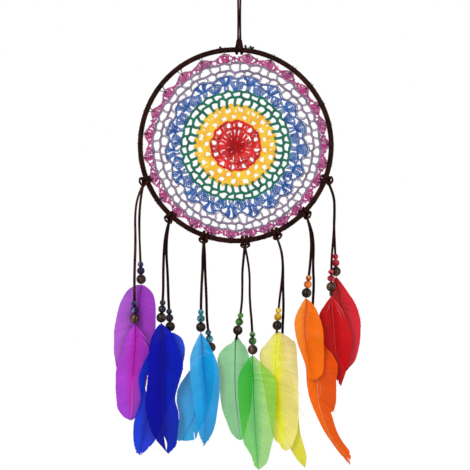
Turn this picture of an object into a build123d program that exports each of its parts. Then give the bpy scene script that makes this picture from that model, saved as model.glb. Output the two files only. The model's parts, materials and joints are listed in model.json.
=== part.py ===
from build123d import *
import math
import os

# Dream catcher, in millimetres: a lace-wound steel hoop with a crochet web, hung by a lace eye,
# with seven lace pairs below it that carry beads and dyed feathers.
# +Z is up, the front faces -Y, +X is to the viewer's right.
# The origin is the centre of the hanging eye. Angles on the hoop are counted from straight down,
# and are positive towards +X.

# Fits
SEAT_GAP = 0.1  # between pieces that sit on each other
TURN_GAP = 0.3  # round the hoop, inside the hanger's turns
BORE_GAP = 0.2  # round the lace, inside a bead

# Suede lace: flat where it is wound and knotted; the free strands are round stand-ins of it
LACE_WIDTH = 2.5
LACE_THICKNESS = 1.4
STRAND_RADIUS = 1.1

# Hoop: a steel ring wound with lace
HOOP_DROP = 165.0  # from the eye down to the hoop's centre
HOOP_SHIFT = -3.5  # the hoop's centre, to the left of the hanging line
RING_RADIUS = 97.4
ROD_RADIUS = 1.5
WRAP_RADIUS = 2.6
WRAP_SECTIONS = 12

# Hanging eye, its knot and the two taut strands
EYE_BORE_RADIUS = 6.0
EYE_KNOT_RADIUS = 2.9
EYE_KNOT_HEIGHT = 6.0
EYE_KNOT_ROUND = 1.7
HEAD_SPREAD = 2.5  # each lace turn of the hanger's head, to the side of the hanging line
HEAD_CROSSING_ANGLE = 130  # where the head's bight lies, round the rod
SPLIT_HEIGHT = 13.0  # above the rod's centre, where the taut strands part
HALF_TWIST = 0.8  # share of the strands' spacing where they are half-way round each other

# Web: flat openwork rounds of yarn, from the hoop in: shells, lilac, blue, green, yellow, red.
# Each round under the shells has two rows of openings. A line is the yarn beside a row,
# and OPEN is the share of a row that is open.
WEB_THICKNESS = 1.4
TIP_GAP = 1.7  # between the shells' tips and the wound lace
SHELL_HEIGHT = 6.8
SHELL_BAND = 2.4
SHELL_RADIUS = 13.0
SHELL_COUNT = 27  # one of them points straight down
LILAC_WIDTH = 12.9
LILAC_LINE = 1.2
LILAC_CELL_COUNT = 54
LILAC_OPEN = 0.78
BLUE_WIDTH = 17.3
BLUE_LINE = 2.9
BLUE_CELL_COUNT = 36
BLUE_OPEN = 0.32
GREEN_WIDTH = 14.3
GREEN_LINE = 1.5
GREEN_CELL_COUNT = 36
GREEN_OPEN = 0.68
YELLOW_WIDTH = 15.3
YELLOW_LINE = 2.3
YELLOW_CELL_COUNT = 18
YELLOW_OPEN = 0.36
RED_WIDTH = 14.8  # the openwork part, round a solid core
RED_LINE = 2.8
RED_CELL_COUNT = 12
RED_OPEN = 0.35

# Lashing thread between the web's tips and the hoop
THREAD_RADIUS = 0.3
EYELET_RADIUS = 0.5
EYELET_DEPTH = 1.1  # from a shell's tip in to its eyelet
THREAD_END_RADIUS = 0.35
THREAD_END_LENGTH = 3.8
THREAD_END_ANGLES = (189.3, 173.9, 171.0)

# Tassel knots on the hoop's lower half, and the strands' pivots under them
KNOT_ANGLES = {
    "purple": -68.6,
    "blue": -42.3,
    "light_blue": -18.9,
    "green": 5.3,
    "yellow": 24.6,
    "orange": 45.8,
    "red": 69.3,
}
KNOT_SPREAD = 2.7  # each lace turn of a knot, to the side of its middle
KNOT_CROSSING_ANGLE = -90  # where a knot's bight lies, round the rod
EXIT_LEAN = 0.55  # the strands leave a knot at this share of its angle
FRONT = -1.3  # a pair's strand that leaves in front of the hoop's plane
BACK = 1.3  # and the one that leaves behind it

# Beads: small, medium and large, touching each other
BEAD_RADII = (3.0, 4.0, 5.0)
BEAD_GAP = 0.1

# Feathers: a thin vane, a rachis rib and a quill
VANE_THICKNESS = 0.8
RIB_THICKNESS = 1.2
RIB_TOP_WIDTH = 1.6
RIB_TIP_WIDTH = 0.6
QUILL_RADIUS = 0.7
CRIMP_WALL = 0.5
CRIMP_LENGTH = 4.0

# Free strands. A route starts at its knot's pivot and ends at the large bead's centre:
# sideways from the pivot, forward or back from the hoop's plane, height from the pivot.
ROUTES = {
    "purple_left": [(0, FRONT, 0), (-5.5, -1.0, -11), (-8.3, -0.5, -30), (-7.6, 0.3, -58),
                    (-8.8, 1.0, -86), (-9.0, 1.4, -114), (-8.7, 1.4, -136.1)],
    "purple_right": [(0, BACK, 0), (-2.5, 2.8, -12), (-4.3, 4.8, -32), (-4.2, 6.6, -51),
                     (-3.4, 7.9, -74), (-2.5, 8.0, -96.3)],
    "blue_left": [(0, FRONT, 0), (-3.7, -3.0, -12.5), (-5.3, -6.0, -32), (-5.7, -8.8, -53),
                  (-5.5, -10.0, -75.5), (-7.6, -10.0, -97.8)],
    "blue_right": [(0, BACK, 0), (-2.1, 1.0, -12.5), (-3.2, 0.6, -31), (-1.5, 0.1, -56),
                   (-0.8, -0.4, -84.5), (1.0, -0.4, -107.4)],
    "light_blue_left": [(0, FRONT, 0), (-1.1, -2.2, -11.5), (-1.2, -3.3, -27), (-2.1, -4.2, -42.5),
                        (-2.9, -4.6, -65), (-3.0, -4.6, -87.5)],
    "light_blue_right": [(0, BACK, 0), (0.9, 1.6, -13), (1.3, 2.0, -33), (2.6, 2.4, -58),
                         (3.0, 2.6, -86), (7.1, 2.6, -108.7)],
    "green_left": [(0, BACK, 0), (-1.2, 2.2, -12), (-2.7, 3.2, -27.5), (-2.5, 4.0, -43),
                   (-3.2, 4.4, -65), (-7.2, 4.4, -86.5)],
    "green_right": [(0, FRONT, 0), (2.7, -2.6, -12.5), (5.0, -3.9, -30), (4.7, -4.9, -54),
                    (7.5, -5.4, -82.5), (7.9, -5.4, -105.5)],
    "yellow_left": [(0, FRONT, 0), (4.0, -0.6, -10.5), (6.2, 0.3, -26), (5.3, 1.3, -45),
                    (2.2, 2.0, -67.5), (0.5, 2.0, -89.9)],
    "yellow_right": [(0, BACK, 0), (4.9, 2.9, -11.5), (6.8, 5.0, -28), (6.6, 7.2, -50),
                     (7.3, 8.6, -72), (5.8, 9.0, -100), (6.1, 9.0, -123.2)],
    "orange_left": [(0, FRONT, 0), (2.7, -3.0, -9.8), (4.0, -5.2, -20.5), (4.3, -7.6, -32.5),
                    (2.4, -10.4, -55), (-0.7, -10.6, -76.9)],
    "orange_right": [(0, BACK, 0), (5.0, -0.2, -11.5), (7.2, -1.6, -28), (6.2, -3.2, -51),
                     (7.2, -4.0, -68), (5.8, -4.0, -90.8), (5.3, -4.0, -113.1)],
    "red_left": [(0, FRONT, 0), (5.0, -0.8, -12), (6.0, 0.0, -30), (4.6, 1.0, -54),
                 (2.2, 1.8, -82), (2.4, 1.8, -105)],
    "red_right": [(0, BACK, 0), (5.4, 3.2, -11), (6.2, 5.8, -27.5), (5.6, 8.2, -42.5),
                  (7.0, 10.2, -66), (7.9, 10.2, -89.4)],
}
# How far the lace comes out below the large bead's centre, where its end shows
STUBS = {"green_left": 9.8, "yellow_left": 7.6, "red_left": 9.1}

# Feather outlines, sideways and down from the large bead's centre:
# the left edge and the right edge from top to bottom, the tip, and the rachis.
FEATHERS = {
    "purple_left": dict(
        left=[(-7.8, -17), (-13.6, -37), (-19.3, -56), (-18.5, -86), (-11, -102)],
        right=[(9, -16), (15, -34), (13, -60), (6.2, -87), (3, -100)],
        tip=(-4.7, -105), rachis=[(1, -12), (0, -34), (-2.1, -65), (-2.8, -88)]),
    "purple_right": dict(
        left=[(-7.6, -7), (-16, -14), (-24, -33), (-27.9, -62), (-25, -91)],
        right=[(5.8, -8), (13, -17), (15.2, -38), (12, -68), (0, -94)],
        tip=(-14, -101), rachis=[(-0.5, -12), (-3, -35), (-8, -70), (-12, -95)]),
    "blue_left": dict(
        left=[(-6.6, -13), (-11.8, -28), (-13.8, -60), (-16, -87), (-10.8, -112), (2.8, -132.7)],
        right=[(11, -16), (16.3, -29), (22, -50), (14.2, -80), (17.6, -96), (16, -121)],
        tip=(7, -137.9), rachis=[(1, -12), (1.1, -60), (2, -110), (6, -132)]),
    "blue_right": dict(
        left=[(-6, -11), (-18, -21), (-31.6, -50), (-30, -74), (-36, -100), (-36, -122)],
        right=[(6.6, -8), (13, -14), (14.8, -29), (5, -65), (-8, -98), (-18, -120)],
        tip=(-31, -129.5), rachis=[(-1, -12), (-8, -40), (-18, -80), (-29, -122)]),
    "light_blue_left": dict(
        left=[(-3.6, -12), (-8.6, -23), (-11, -34), (-10, -58), (-6, -85), (-2, -108)],
        right=[(4.2, -11), (10, -21), (17, -38), (19.3, -62), (15, -97), (9.7, -112)],
        tip=(2.9, -121.4), rachis=[(1, -14), (3.2, -46), (5.5, -70), (4, -110)]),
    "light_blue_right": dict(
        left=[(-8.7, -10), (-19.6, -21), (-33, -41), (-35, -54), (-32.6, -70), (-33.5, -91)],
        right=[(2.5, -9), (3.5, -30), (-1, -60), (-11, -87)],
        tip=(-22.5, -96), rachis=[(-1, -12), (-8, -30), (-18, -60), (-23, -88)]),
    "green_left": dict(
        left=[(-6, -13), (-13.4, -17.5), (-20.5, -29), (-18.6, -51.5), (-17, -76), (-11, -98)],
        right=[(4.3, -13), (9.2, -20), (15, -42), (14, -76), (9, -98)],
        tip=(2.6, -112.7), rachis=[(-2.5, -15), (-2.9, -51), (-1.8, -74), (2, -106)]),
    "green_right": dict(
        left=[(-4.1, -9.5), (-11.9, -21), (-15.3, -36), (-14, -58), (-9.8, -89), (-1, -108)],
        right=[(3, -8), (12, -17), (22, -28), (23.6, -48), (21.6, -82), (13.5, -114)],
        tip=(6.2, -122.4), rachis=[(-0.5, -12), (0.8, -32), (1.4, -60), (4.6, -110)]),
    "yellow_left": dict(
        left=[(-4.5, -12), (-13.6, -20.5), (-18, -33), (-14, -60), (-9, -88), (-3, -111)],
        right=[(5, -11.5), (13, -15.5), (20, -26), (21.5, -60), (21.4, -100), (17, -119)],
        tip=(9.5, -127.8), rachis=[(-0.5, -14), (-2, -40), (-1, -80), (6, -119)]),
    "yellow_right": dict(
        left=[(-6, -12), (-12, -30), (-8, -60), (7.3, -92), (16, -106)],
        right=[(6, -12), (12, -30), (15.5, -55), (18.5, -78), (24.3, -100)],
        tip=(23.4, -113.3), rachis=[(0, -12), (3, -40), (9, -75), (20.5, -106)]),
    "orange_left": dict(
        left=[(-5.5, -12), (-11.3, -25), (-12, -37), (-8, -54), (-1.5, -72), (0.6, -83)],
        right=[(6.2, -11), (12, -21.3), (16.4, -36), (17.6, -58), (15.6, -81)],
        tip=(7, -87.6), rachis=[(0, -12), (-1.8, -30), (-1, -48), (5, -80)]),
    "orange_right": dict(
        left=[(-5, -12), (-8, -30), (-5, -50), (3, -82), (16, -111), (30, -130)],
        right=[(6, -10), (13, -18), (25, -36), (24.9, -62), (22.6, -92), (32, -119)],
        tip=(38.6, -139), rachis=[(1, -12), (4.6, -51), (8, -82), (34, -131)]),
    "red_left": dict(
        left=[(-6.2, -18), (-12.8, -31), (-11, -52), (-3, -77), (4, -92)],
        right=[(6, -15), (14, -28), (20.5, -47), (20.4, -66), (16, -84)],
        tip=(10.1, -101.7), rachis=[(0.5, -16), (2.5, -40), (5, -70), (9, -94)]),
    "red_right": dict(
        left=[(-3.5, -12), (-6, -30), (-4, -60), (3, -88)],
        right=[(5, -11), (12, -21), (22, -38), (25.4, -60), (21, -88)],
        tip=(10.3, -102.9), rachis=[(0.5, -12), (6, -38), (10, -70), (10.5, -95)]),
}

HOOP_PLANE = Plane(origin=(HOOP_SHIFT, 0, -HOOP_DROP), x_dir=(1, 0, 0), z_dir=(0, -1, 0))
TOP_ANGLE = math.degrees(math.asin(HOOP_SHIFT / RING_RADIUS))
RING_TOP = -HOOP_DROP + math.sqrt(RING_RADIUS**2 - HOOP_SHIFT**2)
TURN_RADIUS = WRAP_RADIUS + TURN_GAP
EYE_OUTER_RADIUS = EYE_BORE_RADIUS + LACE_THICKNESS
KNOT_RADIUS = WRAP_RADIUS + SEAT_GAP + LACE_THICKNESS
KNOT_HALF_WIDTH = KNOT_SPREAD + LACE_WIDTH / 2
BORE_RADIUS = STRAND_RADIUS + BORE_GAP
TIP_RADIUS = RING_RADIUS - WRAP_RADIUS - TIP_GAP
LILAC_RADIUS = TIP_RADIUS - SHELL_HEIGHT
BLUE_RADIUS = LILAC_RADIUS - LILAC_WIDTH
GREEN_RADIUS = BLUE_RADIUS - BLUE_WIDTH
YELLOW_RADIUS = GREEN_RADIUS - GREEN_WIDTH
RED_RADIUS = YELLOW_RADIUS - YELLOW_WIDTH
CORE_RADIUS = RED_RADIUS - RED_WIDTH


def on_hoop(angle, radius):
    """A frame on the hoop: X points outward, Y along the hoop, Z to the front."""
    return HOOP_PLANE * Rot(0, 0, angle - 90) * Pos(radius, 0, 0)


def ring_band(inner, outer, width):
    """A flat band bent to a ring about the local Y axis."""
    band = Cylinder(outer, width) - Cylinder(inner, 2 * width)
    return Rot(90, 0, 0) * band


def save(node, *solids):
    """Writes one node's solids to its own STEP file."""
    shape = solids[0] if len(solids) == 1 else Compound(children=list(solids))
    shape.label = node
    export_step(shape, f"parts/{node}.step")


# Hoop


def hoop_ring():
    return HOOP_PLANE * Torus(RING_RADIUS, ROD_RADIUS)


def hoop_wrap():
    """The wound lace, as sleeves that meet end to end round the ring."""
    step = 360 / WRAP_SECTIONS
    sweep_angle = step - math.degrees(SEAT_GAP / RING_RADIUS)
    profile = Pos(RING_RADIUS, 0, 0) * Rot(90, 0, 0) * (
        Circle(WRAP_RADIUS) - Circle(ROD_RADIUS + SEAT_GAP)
    )
    sleeve = revolve(profile, Axis.Z, sweep_angle)
    return [HOOP_PLANE * Rot(0, 0, i * step) * sleeve for i in range(WRAP_SECTIONS)]


def lace_knot(inner, spread, crossing_angle):
    """A lark's head round the hoop: two turns side by side and the bight that crosses them."""
    turns = [
        Pos(0, side * spread, 0) * ring_band(inner, inner + LACE_THICKNESS, LACE_WIDTH)
        for side in (-1, 1)
    ]
    outer = inner + LACE_THICKNESS
    width = 2 * spread + LACE_WIDTH
    bight = ring_band(outer - SEAT_GAP, outer + LACE_THICKNESS, width)
    window = Box(2 * outer, width + 1, LACE_WIDTH)
    window = Rot(0, crossing_angle, 0) * Pos(outer + LACE_THICKNESS, 0, 0) * window
    return (bight & window) + turns[0] + turns[1]


def tassel_knots():
    knot = lace_knot(WRAP_RADIUS + SEAT_GAP, KNOT_SPREAD, KNOT_CROSSING_ANGLE)
    return [on_hoop(angle, RING_RADIUS) * knot for angle in KNOT_ANGLES.values()]


# Web


def flat_round(sketch):
    return HOOP_PLANE * extrude(sketch, WEB_THICKNESS / 2, both=True)


def band(inner, outer):
    return Circle(outer) - Circle(inner + SEAT_GAP)


def openings(inner, outer, count, line, open_share):
    """Two rows of openings between two radii; the outer row lies half a step on."""
    height = (outer - inner - 3 * line) / 2
    step = 360 / count
    inner_row = inner + line + height / 2
    outer_row = outer - line - height / 2
    cuts = []
    for radius, first_angle in ((inner_row, 0), (outer_row, step / 2)):
        width = open_share * radius * math.radians(step)
        cuts += PolarLocations(radius, count, first_angle) * Rectangle(height, width)
    return cuts


def web_red():
    cuts = openings(CORE_RADIUS, RED_RADIUS, RED_CELL_COUNT, RED_LINE, RED_OPEN)
    return flat_round(Circle(RED_RADIUS) - cuts)


def web_yellow():
    cuts = openings(RED_RADIUS, YELLOW_RADIUS, YELLOW_CELL_COUNT, YELLOW_LINE, YELLOW_OPEN)
    return flat_round(band(RED_RADIUS, YELLOW_RADIUS) - cuts)


def web_green():
    cuts = openings(YELLOW_RADIUS, GREEN_RADIUS, GREEN_CELL_COUNT, GREEN_LINE, GREEN_OPEN)
    return flat_round(band(YELLOW_RADIUS, GREEN_RADIUS) - cuts)


def web_blue():
    cuts = openings(GREEN_RADIUS, BLUE_RADIUS, BLUE_CELL_COUNT, BLUE_LINE, BLUE_OPEN)
    return flat_round(band(GREEN_RADIUS, BLUE_RADIUS) - cuts)


def web_lilac():
    cuts = openings(BLUE_RADIUS, LILAC_RADIUS, LILAC_CELL_COUNT, LILAC_LINE, LILAC_OPEN)
    return flat_round(band(BLUE_RADIUS, LILAC_RADIUS) - cuts)


def shell_angles():
    return [i * 360 / SHELL_COUNT for i in range(SHELL_COUNT)]


def tie_angles():
    """Where the thread ties go: at each shell's tip, or just beside a tassel knot that is there."""
    reach = math.degrees((KNOT_HALF_WIDTH + THREAD_RADIUS + SEAT_GAP) / RING_RADIUS)
    angles = []
    for angle in shell_angles():
        for knot in KNOT_ANGLES.values():
            offset = (angle - knot + 180) % 360 - 180
            if abs(offset) < reach:
                angle = knot + math.copysign(reach, offset)
        angles.append(angle)
    return angles


def web_magenta():
    sheet = Circle(LILAC_RADIUS + SHELL_BAND)
    for angle in shell_angles():
        sheet += Rot(0, 0, angle - 90) * Pos(TIP_RADIUS - SHELL_RADIUS, 0) * Circle(SHELL_RADIUS)
    sheet -= Circle(LILAC_RADIUS + SEAT_GAP)
    eyelet = Pos(TIP_RADIUS - EYELET_DEPTH, 0) * Circle(EYELET_RADIUS)
    sheet -= [Rot(0, 0, angle - 90) * eyelet for angle in tie_angles()]
    return flat_round(sheet)


def web_lashing():
    """A thread loop round the hoop and through the eyelet of each shell."""
    outer_side = RING_RADIUS + WRAP_RADIUS + SEAT_GAP + THREAD_RADIUS
    inner_side = TIP_RADIUS - EYELET_DEPTH
    middle = (outer_side + inner_side) / 2
    loop = Rot(90, 0, 0) * Torus((outer_side - inner_side) / 2, THREAD_RADIUS)
    return [on_hoop(angle, middle) * loop for angle in tie_angles()]


def thread_ends():
    """Cut ends of the lashing thread that stand up on the hoop's top."""
    root = RING_RADIUS + WRAP_RADIUS + SEAT_GAP + THREAD_END_LENGTH / 2
    end = Rot(0, 90, 0) * Cylinder(THREAD_END_RADIUS, THREAD_END_LENGTH)
    return [on_hoop(angle, root) * end for angle in THREAD_END_ANGLES]


# Hanger


def hanging_eye():
    return ring_band(EYE_BORE_RADIUS, EYE_OUTER_RADIUS, LACE_WIDTH)


def eye_knot():
    top = -EYE_OUTER_RADIUS - SEAT_GAP
    knot = Cylinder(EYE_KNOT_RADIUS, EYE_KNOT_HEIGHT)
    knot = fillet(knot.edges().filter_by(GeomType.CIRCLE), EYE_KNOT_ROUND)
    return Pos(0, 0, top - EYE_KNOT_HEIGHT / 2) * knot


def hanger_strands():
    """Two taut strands: one behind the other under the eye knot, side by side at the hoop."""
    top = -EYE_OUTER_RADIUS - SEAT_GAP - EYE_KNOT_HEIGHT - TURN_GAP
    split = RING_TOP + SPLIT_HEIGHT
    foot = RING_TOP + TURN_RADIUS + LACE_THICKNESS + STRAND_RADIUS + SEAT_GAP
    aside = STRAND_RADIUS + SEAT_GAP
    strands = []
    for side in (-1, 1):
        start = Vector(0, side * aside, top)
        twist = side * aside * HALF_TWIST
        middle = Vector(twist, twist, (top + split) / 2)
        parting = Vector(side * aside, 0, split)
        end = Vector(side * HEAD_SPREAD, 0, foot)
        tube = lace_tube([start, middle, parting, end], f"hanger strand {side}")
        strands.append(tube + Pos(end) * Sphere(STRAND_RADIUS))
    return strands


def hanger_larks_head():
    knot = lace_knot(TURN_RADIUS, HEAD_SPREAD, HEAD_CROSSING_ANGLE)
    return on_hoop(180 + TOP_ANGLE, RING_RADIUS) * knot


# Tassels


def pivot_of(colour):
    """The point under a tassel knot about which its strands swing."""
    angle = math.radians(KNOT_ANGLES[colour])
    lean = angle * EXIT_LEAN
    drop = (KNOT_RADIUS + TURN_GAP + STRAND_RADIUS) / math.cos(angle - lean)
    x = HOOP_SHIFT + RING_RADIUS * math.sin(angle) + drop * math.sin(lean)
    z = -HOOP_DROP - RING_RADIUS * math.cos(angle) - drop * math.cos(lean)
    return Vector(x, 0, z)


def bend_radii(points):
    """Each corner's radius: 0.45 of its shorter run, over the tangent of half the turn."""
    radii = []
    for before, corner, after in zip(points, points[1:], points[2:]):
        run_in = corner - before
        run_out = after - corner
        half_turn = math.radians(run_in.get_angle(run_out)) / 2
        radii.append(0.45 * min(run_in.length, run_out.length) / math.tan(half_turn))
    return radii


def lace_tube(points, name):
    """A lace's plain round solid along straight runs and tangent arcs."""
    radii = bend_radii(points)
    path = FilletPolyline(*points, radius=radii)
    start = Plane(origin=points[0], z_dir=points[1] - points[0])
    tube = sweep(start * Circle(STRAND_RADIUS), path=path)
    drawn = tube.volume / (math.pi * STRAND_RADIUS**2)
    print(f"{name}: length {path.length:.1f}, by volume {drawn:.1f}, radii", *[round(r) for r in radii])
    return tube


class Strand:
    """One lace strand's places: its route, its bead axis and its end."""

    def __init__(self, name):
        self.name = name
        pivot = pivot_of(name.rsplit("_", 1)[0])
        route = [pivot + Vector(*point) for point in ROUTES[name]]
        self.pivot = route[0]
        self.large_bead = route[-1]
        self.axis = (route[-1] - route[-2]).normalized()
        self.stub = STUBS.get(name, 0)
        self.end = self.large_bead + self.axis * self.stub
        self.route = route[:-1] + [self.end]

    def lace(self):
        tube = lace_tube(self.route, self.name)
        return tube + Pos(self.pivot) * Sphere(STRAND_RADIUS)

    def beads(self):
        """Small, medium and large, each rim resting on the next one's."""
        half_heights = [math.sqrt(r**2 - BORE_RADIUS**2) for r in BEAD_RADII]
        rise = 0
        solids = []
        for i in (2, 1, 0):
            frame = Plane(origin=self.large_bead - self.axis * rise, z_dir=self.axis)
            bead = Sphere(BEAD_RADII[i]) - Cylinder(BORE_RADIUS, 3 * BEAD_RADII[i])
            solids.append(frame * bead)
            if i > 0:
                rise += half_heights[i] + half_heights[i - 1] + BEAD_GAP
        return solids[::-1]

    def feather(self):
        """A flat vane with its rib, and a quill up into the large bead to the lace's end."""
        outline = FEATHERS[self.name]
        bead_foot = BEAD_RADII[2] + 2 * SEAT_GAP
        top_reach = max(bead_foot, self.stub + CRIMP_WALL)
        top = self.large_bead + self.axis * top_reach
        top = (top.X - self.large_bead.X, top.Z - self.large_bead.Z)
        face = Plane(origin=self.large_bead, x_dir=(1, 0, 0), z_dir=(0, -1, 0))
        left = Spline(top, *outline["left"], outline["tip"])
        right = Spline(top, *outline["right"], outline["tip"])
        vane = extrude(make_face(left + right), VANE_THICKNESS / 2, both=True)
        rib = extrude(self.rib_face([top] + outline["rachis"]), RIB_THICKNESS / 2, both=True)
        quill_top = self.stub + SEAT_GAP
        quill_length = top_reach + QUILL_RADIUS - quill_top
        middle = self.large_bead + self.axis * (quill_top + quill_length / 2)
        quill = Plane(origin=middle, z_dir=self.axis) * Cylinder(QUILL_RADIUS, quill_length)
        return face * (vane + rib) + quill

    def rib_face(self, spine):
        """A strip along the rachis that tapers towards the tip."""
        left = []
        right = []
        for i, point in enumerate(spine):
            before = Vector(*spine[max(i - 1, 0)])
            after = Vector(*spine[min(i + 1, len(spine) - 1)])
            across = (after - before).normalized().rotate(Axis.Z, 90)
            share = i / (len(spine) - 1)
            half = (RIB_TOP_WIDTH * (1 - share) + RIB_TIP_WIDTH * share) / 2
            left.append(Vector(*point) + across * half)
            right.append(Vector(*point) - across * half)
        return make_face(Polyline(*left, *reversed(right), close=True))


def feather_crimp():
    """A short wire sleeve round the lace's end under the left red strand's large bead."""
    strand = Strand("red_left")
    start = BEAD_RADII[2] + SEAT_GAP
    inner = STRAND_RADIUS + SEAT_GAP
    sleeve = Cylinder(inner + CRIMP_WALL, CRIMP_LENGTH) - Cylinder(inner, 2 * CRIMP_LENGTH)
    middle = strand.large_bead + strand.axis * (start + CRIMP_LENGTH / 2)
    return Plane(origin=middle, z_dir=strand.axis) * sleeve


def main():
    os.makedirs("parts", exist_ok=True)
    save("hoop_ring", hoop_ring())
    save("hoop_wrap", *hoop_wrap())
    save("tassel_knots", *tassel_knots())
    save("web_red", web_red())
    save("web_yellow", web_yellow())
    save("web_green", web_green())
    save("web_blue", web_blue())
    save("web_lilac", web_lilac())
    save("web_magenta", web_magenta())
    save("web_lashing", *web_lashing())
    save("thread_ends", *thread_ends())
    save("hanging_eye", hanging_eye())
    save("eye_knot", eye_knot())
    save("hanger_strands", *hanger_strands())
    save("hanger_larks_head", hanger_larks_head())
    save("feather_crimp", feather_crimp())
    for name in ROUTES:
        strand = Strand(name)
        save(f"cord_{name}", strand.lace())
        save(f"beads_{name}", *strand.beads())
        save(f"feather_{name}", strand.feather())
        pivot = strand.pivot
        print(f"pivot {name}: {pivot.X:.3f} {pivot.Y:.3f} {pivot.Z:.3f}")


main()
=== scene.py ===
import json
import math

import bpy
import numpy as np
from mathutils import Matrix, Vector


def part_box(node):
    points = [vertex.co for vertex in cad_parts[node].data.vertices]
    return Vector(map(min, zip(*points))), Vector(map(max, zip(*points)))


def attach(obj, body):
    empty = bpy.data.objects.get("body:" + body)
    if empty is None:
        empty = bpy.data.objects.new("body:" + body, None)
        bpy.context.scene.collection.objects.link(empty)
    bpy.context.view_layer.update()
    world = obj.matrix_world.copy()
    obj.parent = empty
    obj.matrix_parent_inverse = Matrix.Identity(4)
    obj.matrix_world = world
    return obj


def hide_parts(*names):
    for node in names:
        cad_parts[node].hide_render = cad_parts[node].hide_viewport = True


# Dream catcher: suede lace, crochet cotton, lacquered wooden beads and dyed feathers,
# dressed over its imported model. Shapes are worked out in millimetres and built in metres.
# Clock angles on the web run from the top, clockwise. Knot angles on the hoop run from
# straight down, towards +X. "Lift" is towards the viewer, which is -Y.

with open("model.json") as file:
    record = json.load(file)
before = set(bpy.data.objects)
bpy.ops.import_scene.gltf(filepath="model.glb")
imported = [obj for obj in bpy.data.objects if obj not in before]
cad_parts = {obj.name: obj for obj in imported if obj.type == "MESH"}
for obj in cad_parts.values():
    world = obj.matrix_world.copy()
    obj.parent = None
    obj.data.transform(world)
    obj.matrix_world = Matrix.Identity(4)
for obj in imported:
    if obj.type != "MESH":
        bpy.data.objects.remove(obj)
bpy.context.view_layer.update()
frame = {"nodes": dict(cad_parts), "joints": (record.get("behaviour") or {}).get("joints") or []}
chance = np.random.default_rng(11)
MM = 0.001
FRONT = np.array([0.0, -1.0, 0.0])


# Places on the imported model, in millimetres


def node_middle(node):
    low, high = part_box(node)
    return np.array((low + high) / 2) / MM


def half_size(node, axis=0):
    low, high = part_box(node)
    return (high[axis] - low[axis]) / 2 / MM


def pivot_of(joint):
    return np.array(next(j for j in frame["joints"] if j["name"] == joint)["pos_m"]) / MM


HOOP_MIDDLE = node_middle("hoop_ring")
WRAP_RADIUS = half_size("hoop_wrap", 1)
RING_RADIUS = half_size("hoop_wrap") - WRAP_RADIUS
RED_EDGE, YELLOW_EDGE, GREEN_EDGE, LILAC_EDGE, TIP_RADIUS = (
    half_size("web_" + colour) for colour in ("red", "yellow", "green", "lilac", "magenta"))
HOOP_TURN = pivot_of("hoop_turn")
HOOP_ROCK = pivot_of("hoop_rock")

# Width and thickness of the suede lace: hanging, in the tassel knots, in the hanger, in its loop
# and in the knot under that
HANGING_LACE = 2.6, 2.2
KNOT_LACE = 3.1, 2.0
HANGER_LACE = 2.2, 1.7
LOOP_LACE = 2.4, 1.5
EYE_LACE = 2.2, 1.4
LOOP_INSET = 1.0  # the loop's middle line, inside its node's outer edge

# The seven lace pairs, from left to right
KNOT_ANGLES = {"purple": -68.6, "blue": -42.3, "light_blue": -18.9, "green": 5.3, "yellow": 24.6,
               "orange": 45.8, "red": 69.3}

BEAD_RADII = {"large": 5.0, "medium": 4.0, "small": 3.0}
BORE_RADIUS = 1.3
BEAD_GAP = 0.1

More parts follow.
